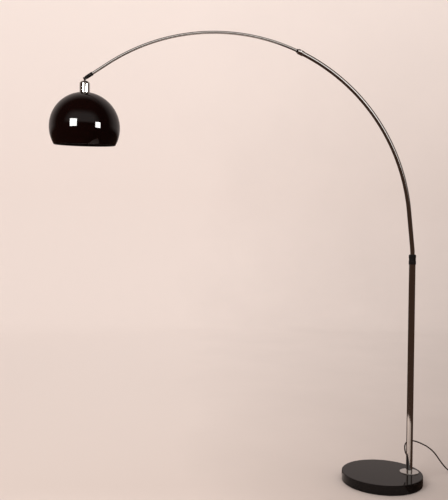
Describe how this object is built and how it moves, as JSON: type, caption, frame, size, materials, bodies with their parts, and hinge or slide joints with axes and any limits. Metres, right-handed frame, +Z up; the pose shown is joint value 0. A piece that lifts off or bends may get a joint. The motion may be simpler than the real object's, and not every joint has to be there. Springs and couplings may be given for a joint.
{
  "type": "arc floor lamp",
  "caption": "Arc floor lamp: round stone base, chrome pole, telescoping curved arm and a hanging black dome shade on a chrome cap.",
  "frame": {"origin": "centre of the felt underside of the round base, where the lamp stands on the floor", "axes": "+Z up; the pole stands off-centre towards +X and the arc reaches towards -X, with the shade hanging over the floor at -X"},
  "size_m": [1.9783, 0.5338, 1.9705],
  "materials": {
    "polished_stone": "polished near-black stone with faint grey grain",
    "felt": "dense black felt",
    "steel": "zinc-plated and turned steel",
    "chrome": "polished chrome plate",
    "nylon": "moulded black nylon",
    "black_plastic": "satin black moulded plastic",
    "wire_sleeve": "pale wire sleeving",
    "shade_gloss": "high-gloss black acrylic, faintly warm in depth",
    "ceramic": "unglazed white ceramic",
    "brass": "plain brass",
    "bulb_metal": "rolled aluminium bulb cap",
    "bulb_glass": "frosted glass",
    "cord": "dark brown-black moulded cord jacket"
  },
  "bodies": {
    "stand": {"base_stone": "polished_stone", "base_felt": "felt", "base_washer": "steel", "base_bolt": "steel", "base_flange": "chrome", "pole_foot_plug": "steel", "pole_tube": "chrome", "pole_top_bush": "nylon", "pole_lead": "wire_sleeve", "cord_grommet": "nylon", "switch_base": "black_plastic", "switch_cover": "black_plastic", "switch_contact_block": "ceramic", "switch_relief_lamp": "nylon", "switch_relief_mains": "nylon", "cord_coil": "cord", "cord_tie": "nylon", "plug_body": "black_plastic", "plug_pin_left": "brass", "plug_pin_right": "brass", "plug_relief": "nylon", "mains_cord_lamp": "cord", "mains_cord_middle": "cord", "mains_cord_tail": "cord"},
    "collar": {"height_collar": "black_plastic"},
    "mast_slider": {"mast_guide_bush": "nylon"},
    "mast": {"outer_arc_tube": "chrome", "reach_clamp": "chrome", "clamp_bush": "black_plastic", "mast_lead": "wire_sleeve"},
    "clamp_knob": {"clamp_screw": "chrome"},
    "boom": {"inner_arc_tube": "chrome", "boom_guide_ring": "nylon", "boom_lead": "wire_sleeve", "end_sleeve": "black_plastic", "sleeve_screw": "steel", "link_pin_front": "steel", "link_pin_back": "steel"},
    "hanging_shade": {"hanger_link": "steel", "cap_nut": "steel", "shade_cap": "chrome", "shade": "shade_gloss", "shade_ring": "black_plastic", "holder_shell": "black_plastic", "holder_core": "ceramic", "holder_contact": "brass", "holder_thread": "brass", "bulb_cap": "bulb_metal", "bulb_glass": "bulb_glass", "holder_lead": "wire_sleeve"},
    "foot_button": {"switch_button": "black_plastic"}
  },
  "joints": [
    {"name": "collar_twist", "type": "hinge", "parent": "stand", "child": "collar", "pos_m": [0.1215, 0, 0.9835], "axis": [0, 0, 1], "range_deg": [0, 90]},
    {"name": "height_slide", "type": "slide", "parent": "stand", "child": "mast_slider", "axis": [0, 0, 1], "range_m": [0, 0.15]},
    {"name": "mast_swivel", "type": "hinge", "parent": "mast_slider", "child": "mast", "pos_m": [0.1215, 0, 0.7055], "axis": [0, 0, 1], "range_deg": [-170, 170]},
    {"name": "clamp_screw_turn", "type": "hinge", "parent": "mast", "child": "clamp_knob", "pos_m": [-0.38664, -0.012, 1.88429], "axis": [0, -1, 0], "range_deg": [0, 360]},
    {"name": "reach_slide", "type": "hinge", "parent": "mast", "child": "boom", "pos_m": [-0.748, 0, 1.1083], "axis": [0, -1, 0], "range_deg": [-30, 8]},
    {"name": "shade_swing", "type": "hinge", "parent": "boom", "child": "hanging_shade", "pos_m": [-1.32532, 0, 1.75141], "axis": [-0.0623, 0.9938, 0.0924], "range_deg": [-45, 45]},
    {"name": "switch_press", "type": "slide", "parent": "stand", "child": "foot_button", "axis": [0, 0, -1], "range_m": [0, 0.003], "stiffness_N_per_m": 1500}
  ]
}
